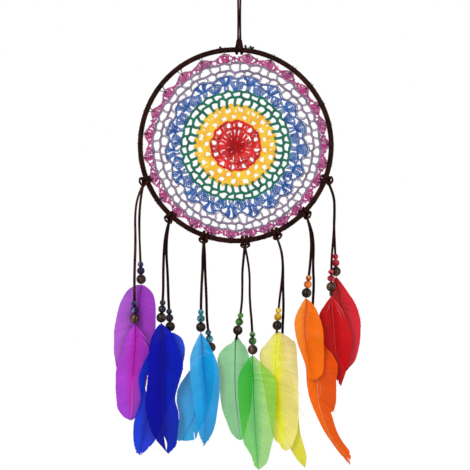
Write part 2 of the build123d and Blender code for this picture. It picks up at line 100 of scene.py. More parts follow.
# Each strand. Its lace: real length; route as in the model, from its pivot to the large bead's
# middle (sideways from the pivot, back from the hoop's plane, up from the pivot); stub past that.
# Its feather, sideways and down from the large bead's middle: left and right edge from the top,
# tip, rachis; how far both edges curl to the front. dyes: the colours it shows over white at its
# density, the left vane's top and tip, the right vane's top and tip, beside the rachis. shaft: the
# rachis at its top and tip. splits, where a vane is parted: side (0 left, 1 right), share down the
# rachis, the barb point it starts from, half the gap. parted, where a vane stands off the rachis:
# side, shares down from and to, width. highlight barbs: single paler barbs, painted highlights on
# barb edges, from and to. ragged: the end's, in shares of its barbs' length. loose, by side: how
# many wisps stand out, from and to which share, and their reach.
STRANDS = dict(
    purple_left=dict(
        length=137.5, route=[(0, -1.3, 0), (-5.5, -1, -11), (-8.3, -0.5, -30), (-7.6, 0.3, -58), (-8.8, 1, -86),
        (-9, 1.4, -114), (-8.7, 1.4, -136.1)],
        left=[(-7.8, -17), (-13.6, -37), (-19.3, -56), (-18.5, -86), (-16, -94.5), (-11.3, -100.8)],
        right=[(9, -16), (15, -34), (13, -60), (7, -87), (3.4, -99)],
        tip=(-3.8, -104.6), rachis=[(1, -12), (0, -34), (-2.1, -65), (-2.8, -88)],
        curls=(-1.6, -1.4), density=0.995, dyes=[(172, 62, 196), (160, 62, 200), (172, 50, 188), (150, 68, 188),
        (176, 34, 172)],
        shaft=[(104, 22, 112), (214, 160, 226)], highlight_barbs=[((5.5, -13.4), (16, -27.6)), ((7.8, -21.6), (13.8, -31.3))]),
    purple_right=dict(
        length=97, route=[(0, 1.3, 0), (-2.5, 2.8, -12), (-4.3, 4.8, -32), (-4.2, 6.6, -51), (-3.4, 7.9, -74),
        (-2.5, 8, -96.3)],
        left=[(-7.6, -7), (-16, -14), (-24, -33), (-27.9, -62), (-25, -91)],
        right=[(5.8, -8), (13, -17), (15.2, -38), (12, -68), (0, -94)],
        tip=(-14, -101), rachis=[(-0.5, -12), (-3, -35), (-8, -70), (-12, -95)],
        curls=(1.2, 1), density=0.99, dyes=[(166, 86, 198), (182, 90, 208), (160, 60, 192), (162, 60, 190),
        (142, 46, 172)],
        shaft=[(126, 26, 150), (150, 50, 170)], loose={0: (5, 0.3, 0.5, 0.1)}),
    blue_left=dict(
        length=99, route=[(0, -1.3, 0), (-3.7, -3, -12.5), (-5.3, -6, -32), (-5.7, -8.8, -53), (-5.5, -10, -75.5),
        (-7.6, -10, -97.8)],
        left=[(-6.6, -13), (-11.8, -28), (-13.8, -60), (-16, -87), (-12.5, -109), (-5.4, -123.8), (3.2, -134)],
        right=[(11, -16), (16.3, -29), (22, -50), (14.2, -80), (17.6, -98), (15.8, -125.6), (12.5, -133)],
        tip=(7, -138.2), rachis=[(1, -12), (1.1, -60), (1.6, -106), (4, -130)],
        curls=(-1.2, -1.4), density=0.995, dyes=[(8, 16, 154), (2, 16, 146), (4, 28, 172), (6, 38, 168),
        (0, 10, 138)],
        shaft=[(0, 10, 120), (8, 30, 150)], parted=(1, 0.87, 0.985, 2.2), ragged=0.06),
    blue_right=dict(
        length=107.7, route=[(0, 1.3, 0), (-2.1, 1, -12.5), (-3.2, 0.6, -31), (-1.5, 0.1, -56), (-0.8, -0.4, -84.5),
        (1, -0.4, -107.4)],
        left=[(-6, -11), (-18, -21), (-31.6, -50), (-30, -74), (-37, -98), (-37.3, -116), (-35.4, -127.4)],
        right=[(6.6, -8), (13, -14), (14.8, -29), (5, -65), (-8, -98), (-14.7, -115.1), (-27.8, -129.6)],
        tip=(-31.4, -130.6), rachis=[(-1, -12), (-13, -30), (-21.5, -47), (-22.5, -66), (-24.5, -95), (-30, -124)],
        curls=(1.4, 0.8), density=0.99, dyes=[(28, 46, 196), (30, 62, 212), (42, 72, 214), (36, 56, 200),
        (20, 44, 176)],
        shaft=[(20, 36, 160), (30, 50, 180)], splits=[(1, 0.97, 5, 0.4)], parted=(0, 0.34, 0.56, 3.6), ragged=0.12),
    light_blue_left=dict(
        length=87.7, route=[(0, -1.3, 0), (-1.1, -2.2, -11.5), (-1.2, -3.3, -27), (-2.1, -4.2, -42.5),
        (-2.9, -4.6, -65), (-3, -4.6, -87.5)],
        left=[(-3.6, -12), (-8.6, -23), (-11, -34), (-10, -58), (-6, -85), (-2, -108)],
        right=[(4.2, -11), (10, -21), (17, -38), (19.3, -62), (15, -97), (9.7, -112)],
        tip=(2.9, -121.4), rachis=[(1, -14), (3.2, -46), (5.5, -70), (4, -110)],
        curls=(-1, -1.2), density=0.97, dyes=[(76, 166, 220), (28, 150, 212), (48, 156, 216), (8, 142, 204),
        (8, 132, 200)],
        shaft=[(20, 104, 180), (60, 150, 205)], splits=[(0, 0.96, 5, 0.6)], ragged=0.12,
        loose={0: (4, 0.05, 0.2, 0.08)}),
    light_blue_right=dict(
        length=109.1, route=[(0, 1.3, 0), (0.9, 1.6, -13), (1.3, 2, -33), (2.6, 2.4, -58), (3, 2.6, -86),
        (7.1, 2.6, -108.7)],
        left=[(-8.7, -10), (-19.6, -21), (-33, -41), (-35, -54), (-32.6, -70), (-34.6, -93.4)],
        right=[(2.5, -9), (3.5, -30), (-1, -60), (-12, -84), (-15.5, -93), (-22, -95.2)],
        tip=(-29, -95.4), rachis=[(-1, -12), (-8, -34), (-17.6, -71.7), (-24.9, -86)],
        curls=(-0.9, 1), density=0.965, dyes=[(66, 156, 218), (58, 163, 219), (60, 150, 214), (52, 162, 217),
        (58, 160, 218)],
        shaft=[(40, 120, 190), (20, 110, 185)], splits=[(1, 0.8, 5, 0.4)]),
    green_left=dict(
        length=96.8, stub=9.8, route=[(0, 1.3, 0), (-1.2, 2.2, -12), (-2.7, 3.2, -27.5), (-2.5, 4, -43),
        (-3.2, 4.4, -65), (-7.2, 4.4, -86.5)],
        left=[(-6, -13), (-13.4, -17.5), (-20.5, -29), (-18.6, -51.5), (-17, -76), (-8.6, -101), (-2.4, -110.2)],
        right=[(4.3, -13), (9.2, -20), (15, -42), (14, -76), (9, -98), (6, -110.4)],
        tip=(2.4, -112.8), rachis=[(-2.5, -15), (-2.9, -51), (-1.8, -74), (2, -106)],
        curls=(-1.4, -0.9), density=0.86, dyes=[(140, 197, 147), (132, 198, 138), (134, 198, 138), (132, 204, 138),
        (146, 206, 154)],
        shaft=[(44, 76, 50), (70, 130, 76)], highlight_barbs=[((3.4, -13), (9.4, -24))]),
    green_right=dict(
        length=106.1, route=[(0, -1.3, 0), (2.7, -2.6, -12.5), (5, -3.9, -30), (4.7, -4.9, -54), (7.5, -5.4, -82.5),
        (7.9, -5.4, -105.5)],
        left=[(-4.1, -9.5), (-11.9, -21), (-15.3, -36), (-14, -58), (-9.8, -92), (-5.7, -100.8), (-1, -108.6),
        (0.8, -116.5)],
        right=[(3, -8), (12, -17), (22, -28), (23.6, -48), (21.6, -84), (16.2, -109.7), (13, -117)],
        tip=(6.2, -122.4), rachis=[(-0.5, -12), (0.8, -32), (1.4, -60), (4.6, -110)],
        curls=(-1.2, -1.2), density=0.86, dyes=[(106, 182, 108), (124, 198, 110), (162, 209, 116), (154, 206, 128),
        (98, 180, 92)],
        shaft=[(52, 140, 56), (84, 170, 84)], splits=[(0, 0.88, 6, 0.4)]),
    yellow_left=dict(
        length=98.7, stub=7.6, route=[(0, -1.3, 0), (4, -0.6, -10.5), (6.2, 0.3, -26), (5.3, 1.3, -45),
        (2.2, 2, -67.5), (0.5, 2, -89.9)],
        left=[(-3.8, -9.6), (-12, -19.2), (-18, -29), (-15.5, -52), (-9, -90), (-4, -114), (1.8, -120.5),
        (5, -125.6)],
        right=[(5.7, -8.5), (14, -14), (19.4, -22), (21.5, -60), (21.4, -100), (17, -119), (12.6, -126)],
        tip=(9, -128.2), rachis=[(-0.5, -14), (-2, -40), (-1, -80), (6, -119)],
        curls=(0.8, -0.9), density=0.93, dyes=[(228, 221, 132), (226, 222, 70), (232, 218, 138), (232, 222, 132),
        (230, 230, 34)],
        shaft=[(246, 242, 56), (246, 246, 60)], loose={1: (13, 0.42, 0.72, 0.3), 0: (4, 0.01, 0.05, 0.4)}),
    yellow_right=dict(
        length=124.6, route=[(0, 1.3, 0), (4.9, 2.9, -11.5), (6.8, 5, -28), (6.6, 7.2, -50), (7.3, 8.6, -72),
        (5.8, 9, -100), (6.1, 9, -123.2)],
        left=[(-6, -12), (-12, -30), (-8, -60), (7.3, -92), (16, -106)],
        right=[(6, -12), (12, -30), (15.5, -55), (18.5, -78), (24.3, -100)],
        tip=(23.4, -113.3), rachis=[(0, -12), (3, -40), (9, -75), (20.5, -106)],
        curls=(1, 1), density=0.96, dyes=[(222, 222, 60), (216, 210, 66), (226, 222, 60), (218, 210, 68),
        (222, 218, 50)],
        shaft=[(225, 218, 60), (214, 208, 70)]),
    orange_left=dict(
        length=78.4, route=[(0, -1.3, 0), (2.7, -3, -9.8), (4, -5.2, -20.5), (4.3, -7.6, -32.5), (2.4, -10.4, -55),
        (-0.7, -10.6, -76.9)],
        left=[(-5.5, -12), (-11.3, -25), (-12, -37), (-8, -54), (-1.5, -72), (1.2, -86)],
        right=[(6.2, -11), (12, -21.3), (16.4, -36), (17.6, -58), (16.8, -79), (13.3, -85)],
        tip=(8.4, -88.3), rachis=[(0, -12), (-1.8, -30), (-1, -48), (5, -80)],
        curls=(-1.2, -1.4), density=0.985, dyes=[(236, 136, 40), (237, 108, 34), (236, 110, 30), (236, 110, 34),
        (226, 98, 22)],
        shaft=[(204, 88, 16), (238, 122, 34)], loose={0: (4, 0.1, 0.3, 0.1)}),
    orange_right=dict(
        length=114.5, route=[(0, 1.3, 0), (5, -0.2, -11.5), (7.2, -1.6, -28), (6.2, -3.2, -51), (7.2, -4, -68),
        (5.8, -4, -90.8), (5.3, -4, -113.1)],
        left=[(-5, -12), (-8, -24), (-6.2, -37.6), (-5, -59.6), (-0.3, -77.3), (9.8, -100.2), (20, -116.3),
        (30.5, -130.3)],
        right=[(6, -10), (13, -18), (25, -35), (24.6, -54.6), (24.2, -73), (21.8, -84), (19.2, -85), (20.2, -89),
        (25, -104.4), (31.8, -116.3), (38.8, -127)],
        tip=(38.4, -139), rachis=[(1, -12), (4.6, -51), (8, -82), (20, -112), (34, -129)],
        curls=(-1, 1), density=0.995, dyes=[(236, 102, 8), (230, 96, 8), (214, 72, 6), (230, 90, 12), (222, 86, 10)],
        shaft=[(236, 150, 90), (240, 160, 110)], splits=[(1, 0.945, 3, 0.7), (0, 0.97, 5, 0.5)], highlight_barbs=[((12, -18.8),
        (24.4, -33)), ((7.2, -52), (7.4, -72))], ragged=0.2, loose={1: (5, 0.45, 0.55, 0.12)}),
    red_left=dict(
        length=115.2, stub=9.1, crimped=True, squash=0.84, route=[(0, -1.3, 0), (5, -0.8, -12), (6, 0, -30),
        (4.6, 1, -54), (2.2, 1.8, -82), (2.4, 1.8, -105)],
        left=[(-6.2, -18), (-12.8, -31), (-11, -52), (-3, -77), (4, -92)],
        right=[(6, -15), (14, -28), (20.5, -47), (20.4, -66), (16, -84)],
        tip=(10.1, -101.7), rachis=[(0.5, -16), (2.5, -40), (5, -70), (9, -94)],
        curls=(-1.2, -1.2), density=0.995, dyes=[(180, 6, 6), (192, 14, 18), (200, 28, 36), (186, 12, 20),
        (164, 0, 6)],
        shaft=[(214, 60, 66), (186, 20, 28)], splits=[(0, 0.9, 6, 0.6)], highlight_barbs=[((2.4, -13), (14, -32)), ((5, -20),
        (10.5, -33)), ((-1.5, -16), (-5, -26))]),
    red_right=dict(
        length=91.2, route=[(0, 1.3, 0), (5.4, 3.2, -11), (6.2, 5.8, -27.5), (5.6, 8.2, -42.5), (7, 10.2, -66),
        (7.9, 10.2, -89.4)],
        left=[(-3.5, -12), (-6, -30), (-4, -60), (3, -88)],
        right=[(5, -11), (12, -21), (22, -38), (25.4, -60), (21, -88)],
        tip=(10.3, -102.9), rachis=[(0.5, -12), (6, -38), (10, -70), (10.5, -95)],
        curls=(1.2, 1.2), density=0.985, dyes=[(184, 26, 32), (192, 30, 36), (202, 32, 42), (210, 46, 64),
        (176, 18, 26)],
        shaft=[(158, 6, 20), (170, 20, 32)]),
)


# Curves and surfaces


def unit(vectors):
    return vectors / np.linalg.norm(vectors, axis=-1, keepdims=True)


def stacked(*parts):
    """Coordinates of any matching shapes as points."""
    return np.stack(np.broadcast_arrays(*parts), axis=-1)


def distances(line):
    """How far along a line each of its points lies."""
    return np.append(0.0, np.cumsum(np.linalg.norm(np.diff(line, axis=0), axis=1)))


def flow(points, per_span):
    """A smooth line through given points."""
    p = np.array(points, float)
    p = np.vstack([2 * p[0] - p[1], p, 2 * p[-1] - p[-2]])
    t = np.linspace(0, 1, per_span, endpoint=False)[:, None]
    a, b, c, d = (part[:, None] for part in (p[:-3], p[1:-2], p[2:-1], p[3:]))
    spans = 2 * b + (c - a) * t + (2 * a - 5 * b + 4 * c - d) * t**2
    spans = (spans + (3 * b - a - 3 * c + d) * t**3) / 2
    return np.vstack([spans.reshape(-1, p.shape[1]), p[-2]])


def along_line(line, shares):
    """Places at the given shares of a line's length."""
    along = distances(line)
    return stacked(*(np.interp(shares, along / along[-1], axis) for axis in line.T))


def evenly(line, step):
    """The same line with its points at even steps."""
    return along_line(line, np.linspace(0, 1, max(3, round(distances(line)[-1] / step) + 1)))


def facing(line, towards):
    """Normals turned as far as they go towards a direction, or one for each point, and sides."""
    tangents = unit(np.gradient(line, axis=0))
    normals = unit(towards - tangents * np.sum(tangents * towards, axis=1, keepdims=True))
    return normals, np.cross(tangents, normals)


def carried(line, towards):
    """As facing, with each normal carried on from the one before it."""
    tangents = unit(np.gradient(line, axis=0))
    normals = []
    for tangent in tangents:
        towards = unit(towards - tangent * (towards @ tangent))
        normals.append(towards)
    return np.array(normals), np.cross(tangents, normals)


def full_turn(count):
    return np.linspace(0, 2 * math.pi, count, endpoint=False)


def wave(degrees):
    return np.sin(np.radians(degrees))


def swell(shares):
    """Nothing at 0 and at 1, and one halfway."""
    return np.sin(math.pi * shares)


def ply(radius, sides=6):
    """The round section of a ply of yarn, a thread or a rod."""
    return radius * stacked(np.cos(full_turn(sides)), np.sin(full_turn(sides)))


def soft_oblong(width, thickness):
    """The section of a lace: across its thickness and across its width."""
    corners = ply(1.0, 16)
    return np.sign(corners) * np.abs(corners) ** 0.6 * (thickness / 2, width / 2)


def ring_round(axis, turn):
    """Directions square to an axis, turned round it from one side."""
    side = unit(np.cross(axis, FRONT))
    return np.cos(turn)[:, None] * side + np.sin(turn)[:, None] * np.cross(axis, side)


class Skin:
    """Collects surfaces in millimetres, with their lay, and then becomes one piece."""

    def __init__(self):
        self.points, self.lays, self.faces = [], [], []
        self.count = 0

    def grid(self, points, lay, closed=False, capped=False, kept=None):
        rows, columns = points.shape[:2]
        index = np.arange(rows * columns).reshape(rows, columns) + self.count
        if capped:
            self.faces += [index[0, ::-1].tolist(), index[-1].tolist()]
        if closed:
            index = np.column_stack([index, index[:, 0]])
        quads = stacked(index[:-1, :-1], index[:-1, 1:], index[1:, 1:], index[1:, :-1]).reshape(-1, 4)
        self.faces += (quads if kept is None else quads[kept]).tolist()
        self.points.append(points.reshape(-1, 3))
        self.lays.append(np.broadcast_to(lay, points.shape).reshape(-1, 3))
        self.count += rows * columns

    def tube(self, line, section, frames, mark=0.0):
        """Sections set along a line; a section may change along it."""
        normals, sides = frames
        section = np.broadcast_to(section, (len(line),) + section.shape[-2:])
        rings = line[:, None] + section[..., :1] * normals[:, None] + section[..., 1:] * sides[:, None]
        round_share = np.linspace(0, 1, section.shape[1], endpoint=False)
        self.grid(rings, stacked(distances(line)[:, None], round_share, mark), closed=True, capped=True)
        return self

    def rod(self, line, radius, sides=6, mark=0.0):
        """A round tube whose radius may change along it."""
        radius = np.broadcast_to(radius, len(line))[:, None, None]
        return self.tube(line, ply(1.0, sides) * radius, carried(line, FRONT), mark)

    def piece(self, name, material, body, node, slot=None):
        mesh = bpy.data.meshes.new(name)
        mesh.from_pydata((np.concatenate(self.points) * MM).tolist(), [], self.faces)
        lay = mesh.attributes.new("lay", "FLOAT_VECTOR", "POINT")
        lay.data.foreach_set("vector", np.concatenate(self.lays).astype(np.float32).ravel())
        mesh.shade_smooth()
        mesh.update()
        dressed(name, mesh, material, body, node)


def linked(name, data):
    made = bpy.data.objects.new(name, data)
    bpy.context.scene.collection.objects.link(made)
    return made


def dressed(name, data, material, body, node):
    """A new piece on its body, in place of its plain node."""
    data.materials.append(material)
    made = linked(name, data)
    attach(made, body)
    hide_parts(node)
    return made


# Materials


def tint(red, green, blue):
    """A display colour, 0 to 255 each, as the shader's linear one."""
    shares = [c / 255 for c in (red, green, blue)]
    return tuple(s / 12.92 if s <= 0.04045 else ((s + 0.055) / 1.055) ** 2.4 for s in shares) + (1,)


def place(tree, kind, settings=(), **inputs):
    """Adds a shader node; inputs are sockets to link or values to set."""
    made = tree.nodes.new("ShaderNode" + kind)
    for key, value in dict(settings).items():
        setattr(made, key, value)
    for key, value in inputs.items():
        socket = made.inputs[int(key[1:]) if key[1:].isdigit() else key.replace("_", " ")]
        if isinstance(value, bpy.types.NodeSocket):
            tree.links.new(value, socket)
        else:
            socket.default_value = value
    return made


def mixed(tree, share, first, second, way="MIX"):
    made = place(tree, "Mix", {"data_type": "RGBA", "blend_type": way}, i0=share, i6=first, i7=second)
    return made.outputs[2]


def worked(tree, operation, *values):
    values = {f"i{i}": value for i, value in enumerate(values)}
    return place(tree, "Math", {"operation": operation}, **values).outputs[0]


def ranged(tree, value, low, high, to_low=0.0, to_high=1.0):
    return place(tree, "MapRange", Value=value, From_Min=low, From_Max=high,
                 To_Min=to_low, To_Max=to_high).outputs[0]


def stretched(tree, vector, stretch):
    return place(tree, "VectorMath", {"operation": "MULTIPLY"}, i0=vector, i1=stretch).outputs[0]


def noise(tree, vector, scale, detail=3.0):
    return place(tree, "TexNoise", Vector=vector, Scale=scale, Detail=detail).outputs["Fac"]


def shaded(tree, colour, level):
    """A colour, darker or paler by a level."""
    grey = place(tree, "CombineColor", Red=level, Green=level, Blue=level).outputs[0]
    return mixed(tree, 1.0, colour, grey, "MULTIPLY")


def group_of(name, colours, numbers, fill):
    """A shader node group with a place, a lay, colours and numbers as inputs, filled by a function."""
    tree = bpy.data.node_groups.new(name, "ShaderNodeTree")
    for kind, labels in (("Vector", ("Place", "Lay")), ("Color", colours), ("Float", numbers)):
        for label in labels:
            tree.interface.new_socket(label, in_out="INPUT", socket_type="NodeSocket" + kind)
    for label, kind in (("Color", "Color"), ("Relief", "Float")):
        tree.interface.new_socket(label, in_out="OUTPUT", socket_type="NodeSocket" + kind)
    given = tree.nodes.new("NodeGroupInput").outputs
    out = tree.nodes.new("NodeGroupOutput")
    for socket, wanted in zip(fill(tree, given), out.inputs):
        tree.links.new(socket, wanted)
    return tree


def fibre_nodes(tree, given):
    """Patches of two tints, streaks of a third along the fibres, and their relief."""
    patches = ranged(tree, noise(tree, given["Place"], given["Patch Scale"]), 0.38, 0.62)
    streaks = noise(tree, given["Lay"], given["Streak Scale"], 4.0)
    share = worked(tree, "MULTIPLY", ranged(tree, streaks, 0.5, 0.78), given["Streaks"])
    return mixed(tree, share, mixed(tree, patches, given["Dark"], given["Main"]), given["Light"]), streaks


def wear_nodes(tree, given):
    """One colour passing into another along the piece, worn in small spots."""
    worn = ranged(tree, noise(tree, given["Place"], 400.0), 0.35, 0.65, 0.75, 1.1)
    share = ranged(tree, place(tree, "SeparateXYZ", Vector=given["Lay"]).outputs["X"], 55.0, 85.0)
    return shaded(tree, mixed(tree, share, given["First"], given["Last"]), worn), worn


def vane_nodes(tree, given):
    """Dyed barbs: a colour at the top and at the tip of each side, streaks and soft patches."""
    parts = place(tree, "SeparateXYZ", Vector=given["Lay"]).outputs
    side = ranged(tree, parts["Z"], -0.12, 0.12)
    down = ranged(tree, worked(tree, "MODULO", parts["Y"], SIDE_MARK), 15.0, 140.0)
    top = mixed(tree, side, given["Left Top"], given["Right Top"])
    tip = mixed(tree, side, given["Left Tip"], given["Right Tip"])
    streak = noise(tree, stretched(tree, given["Lay"], (0.05, 0.55, 0.0)), 1.0, 5.0)
    ragged = worked(tree, "MULTIPLY_ADD", streak, 0.5, worked(tree, "ABSOLUTE", parts["Z"]))
    dye = mixed(tree, ranged(tree, ragged, 0.72, 0.3), mixed(tree, down, top, tip), given["Heart"])
    fine = ranged(tree, streak, 0.3, 0.7, 0.88, 1.08)
    patch = ranged(tree, noise(tree, given["Place"], 38.0), 0.3, 0.7, 0.9, 1.08)
    return shaded(tree, dye, worked(tree, "MULTIPLY", fine, patch)), streak


# A feather's lay: along each barb, its number down the vane (the right side's from SIDE_MARK on),
# and which way and how far it is from the rachis.
SIDE_MARK = 400.0
TONES = "Dark", "Main", "Light"
VANE_DYES = "Left Top", "Left Tip", "Right Top", "Right Tip", "Heart"
FIBRES = group_of("fibres", TONES, ("Patch Scale", "Streak Scale", "Streaks"), fibre_nodes)
WEAR = group_of("wear", ("First", "Last"), (), wear_nodes)
VANE = group_of("dyed_vane", VANE_DYES, (), vane_nodes)


def bare_finish(name, **fixed):
    """A material and its shader, whose plain values are set on its own sockets."""
    material = bpy.data.materials.new(name)
    material.use_nodes = True
    shader = material.node_tree.nodes["Principled BSDF"]
    for key, value in fixed.items():
        shader.inputs[key.replace("_", " ")].default_value = value
    return material, shader


def finish_of(name, group, given, relief=None, stretch=(1, 1, 1), on_lay=True, **fixed):
    """A material coloured by a group; its lay is the piece's own, or else its place in the room."""
    material, shader = bare_finish(name, **fixed)
    tree = material.node_tree
    position = place(tree, "TexCoord").outputs["Object"]
    lay = place(tree, "Attribute", {"attribute_name": "lay"}).outputs["Vector"] if on_lay else position
    made = place(tree, "Group", {"node_tree": group}, Place=position,
                 Lay=stretched(tree, lay, stretch), **given).outputs
    tree.links.new(made["Color"], shader.inputs["Base Color"])
    if relief:
        bump = place(tree, "Bump", Height=made["Relief"], Strength=relief[0], Distance=relief[1])
        tree.links.new(bump.outputs[0], shader.inputs["Normal"])
    return material


def fibrous(name, tones, scales, relief, stretch, on_lay, **fixed):
    """scales are those of the patches and streaks, and the streaks' strength."""
    given = {label: tint(*tone) for label, tone in zip(TONES, tones)}
    given |= zip(("Patch Scale", "Streak Scale", "Streaks"), scales)
    return finish_of(name, FIBRES, given, (relief, 0.0003), stretch, on_lay, **fixed)


def yarn_finish(name, *tones):
    return fibrous("yarn_" + name, tones, (90, 1.6, 0.55), 0.35, (0.5, 3, 1), True,
                   Roughness=0.85, Specular_IOR_Level=0.2, Sheen_Weight=0.12)


def suede_finish(name, along, streaks, main=(42, 17, 15)):
    """Wound or knotted lace is streaked along its own lay, at a scale; hanging lace straight down."""
    stretch = (along, 5, 1) if along else (900, 900, 60)
    return fibrous("suede_" + name, ((20, 6, 6), main, (96, 52, 44)), (70, 1, streaks), 0.5,
                   stretch, bool(along), Roughness=0.8, Specular_IOR_Level=0.05)


# The palest tone's streaks are partly the beads' own mottling and grain, and partly painted highlight flecks.
def bead_finish(name, *tones, scale=300.0):
    return fibrous("bead_" + name, tones, (scale * 0.6, 1, 0.9), 0.03, (scale, scale, scale * 0.35), False,
                   Roughness=0.6, Specular_IOR_Level=0.0, Coat_Weight=0.5, Coat_Roughness=0.1)


def dye_over_white(seen, density, gain=1.1):
    """The dye that shows a colour over white at a vane's density."""
    linear = [(c * gain - 1 + density) / density for c in tint(*seen)[:3]]
    return tuple(min(max(c, 0.0), 1.0) for c in linear) + (1,)


def feather_finish(name, density, dyes):
    """A feather's vanes, dyed from the top to the tip on either side of the rachis."""
    given = {label: dye_over_white(seen, density) for label, seen in zip(VANE_DYES, dyes)}
    return finish_of(name, VANE, given, (0.25, 0.0002), Roughness=0.5, Specular_IOR_Level=0.1, Alpha=density)


def plain_finish(name, first, last=None, **fixed):
    """A small piece's finish: worn a little, with one colour passing into another along it."""
    return finish_of(name, WEAR, {"First": tint(*first), "Last": tint(*(last or first))}, **fixed)


SUEDE = suede_finish("lace", 0.35, 0.7)
HANGING_SUEDE = suede_finish("strand", 0, 0.25)
BROWN_SUEDE = suede_finish("brown", 0, 0.5, (78, 38, 36))
WOUND_SUEDE = suede_finish("winding", 0.12, 0.8)
THREAD = plain_finish("waxed_thread", (30, 18, 20), Roughness=0.5, Specular_IOR_Level=0.2)
GLUE = plain_finish("dried_glue", (150, 160, 148), Roughness=0.2, Coat_Weight=0.5)
WIRE = plain_finish("crimp_wire", (72, 60, 56), Roughness=0.35, Metallic=1.0)
STEEL = plain_finish("ring_steel", (150, 150, 152), Roughness=0.35, Metallic=1.0)
CORE_YARN = yarn_finish("red_core", (150, 0, 8), (190, 6, 20), (215, 50, 50))
YARNS = {name: yarn_finish(name, *tones) for name, *tones in (
    ("red", (185, 10, 20), (228, 38, 40), (245, 110, 95)),
    ("yellow", (244, 180, 48), (250, 212, 54), (250, 240, 134)),
    ("green", (12, 96, 76), (28, 124, 96), (94, 172, 146)),
    ("blue", (32, 72, 150), (46, 104, 178), (106, 160, 208)),
    ("lilac", (112, 104, 122), (150, 126, 158), (190, 168, 192)),
    ("magenta", (148, 60, 120), (188, 58, 130), (214, 125, 168)),
)}
# The third tone of each bead is brightened beyond its grain and mottling, so its flecks also paint highlights.
DARK_BEAD = bead_finish("dark", (2, 0, 0), (16, 4, 3), (150, 96, 76), scale=200.0)
BRONZE_BEAD = bead_finish("bronze", (10, 2, 0), (56, 22, 10), (190, 150, 104), scale=200.0)
BEADS = {name: bead_finish(name, *tones) for name, *tones in (
    ("purple", (6, 2, 34), (38, 28, 86), (150, 146, 210)),
    ("blue", (4, 2, 12), (28, 22, 44), (128, 118, 156)),
    ("light_blue", (4, 52, 74), (34, 126, 146), (136, 208, 216)),
    ("green", (16, 62, 16), (70, 138, 52), (170, 212, 130)),
    ("yellow", (176, 124, 8), (236, 200, 44), (254, 240, 150)),
    ("orange", (150, 46, 4), (228, 108, 18), (254, 190, 106)),
    ("red", (112, 0, 16), (204, 22, 44), (246, 120, 130)),
)}


# Hoop


def off_clock(angle, hour):
    """Degrees from one clock angle to another, -180 to 180."""
    return (angle - hour + 180) % 360 - 180


def bulge(angle):
    """The hoop isn't quite round: a little out at the upper left, in at the upper right."""
    return 0.7 * np.exp(-((off_clock(angle, 322) / 30) ** 2)) - 0.7 * np.exp(-((off_clock(angle, 45) / 28) ** 2))


def clock(angle, radius):
    """A point in the hoop's plane, in millimetres from its middle."""
    turned = np.radians(angle)
    return stacked(radius * np.sin(turned), 0, radius * np.cos(turned))


WRAP_TURNS = 306
ROWS_PER_TURN = 8
WINDING_SIDES = 20
RIDGE = 0.5  # how far each turn's crown stands over the groove beside it
LOOSE_TURNS = 200, 262


def hoop_winding():
    """Suede lace wound round the ring, edge to edge, with a few careless turns."""
    angle = np.linspace(0, 360, WRAP_TURNS * ROWS_PER_TURN + 1)[:, None]
    around = full_turn(WINDING_SIDES)[None]
    turns = angle / 360 * WRAP_TURNS + around / (2 * math.pi)
    share = turns % 1.0
    number = turns.astype(int) % WRAP_TURNS
    tall = chance.normal(0, 0.05, WRAP_TURNS + 1)
    tall[::23] += 0.28
    tall[slice(*LOOSE_TURNS)] += 0.12 * (-1) ** np.arange(*LOOSE_TURNS)
    tall[-1] = tall[0]
    crown = np.sqrt(1 - (2 * share - 1) ** 2)
    radius = WRAP_RADIUS + 0.15 - RIDGE + RIDGE * crown + tall[number] * swell(share) ** 2
    sway = 0.16 * wave(angle * 11) + 0.1 * wave(angle * 29 + 40)
    points = HOOP_MIDDLE + clock(angle, RING_RADIUS + bulge(angle) + radius * np.cos(around))
    points[..., 1] -= radius * np.sin(around) + sway
    skin = Skin()
    skin.grid(points, stacked(around * WRAP_RADIUS, share, number * 0.37), closed=True)
    skin.piece("hoop_winding", WOUND_SUEDE, "hoop", "hoop_wrap", "lace")
    ring = frame["nodes"]["hoop_ring"]
    ring.data.materials.clear()
    ring.data.materials.append(STEEL)


# Tassel knots and the hanger. Half of a loose lark's head, from a strand's pivot round the hoop
# to the bar in front of it: outward, along, front.
HALF_KNOT = np.array([
    (4.4, -0.9, -0.8), (2.4, -1.6, -3.2), (-1.2, -1.8, -3.9), (-3.8, -1.9, -0.8), (-2.8, -2.1, 3.0),
    (0, -2.2, 4.2), (2.6, -2.7, 3.5), (4.2, -3.5, 2.2), (5.8, -3.6, 1.6), (7.0, -2.2, 2.3)])
KNOT_BAR = 7.3, 0, 3.3
# Half of the hanger's head: a strand comes down in the middle, passes in front of the hoop and
# under it, and comes up behind, further out, to the bight that holds both: along, back, up.
HALF_HEAD = np.array([
    (-1.1, -1.0, 6.0), (-1.3, -3.1, 3.0), (-1.6, -4.1, 0), (-2.1, -3.0, -2.7), (-2.4, 0, -3.9),
    (-2.8, 3.0, -2.7), (-3.1, 4.1, 0), (-2.8, 3.5, 3.4), (-2.1, 2.0, 7.0), (-1.7, 0.4, 9.4)])
EYE_KNOT = [(-1.0, 0, 3.4), (-1.5, -0.7, 2.0), (1.2, -1.9, 0.9), (2.2, 0, -0.1), (0.8, 1.9, -0.9),
            (-1.7, 1.3, -1.5), (-1.9, -0.9, -0.6), (0.2, -2.0, -0.2), (1.9, -0.8, 1.3), (1.6, 1.3, 1.9),
            (-0.6, 1.8, 0.8), (-2.1, 0.3, 0.2), (-1.5, -1.5, -1.6), (1.0, -1.0, -2.2), (1.2, 0, -3.1)]


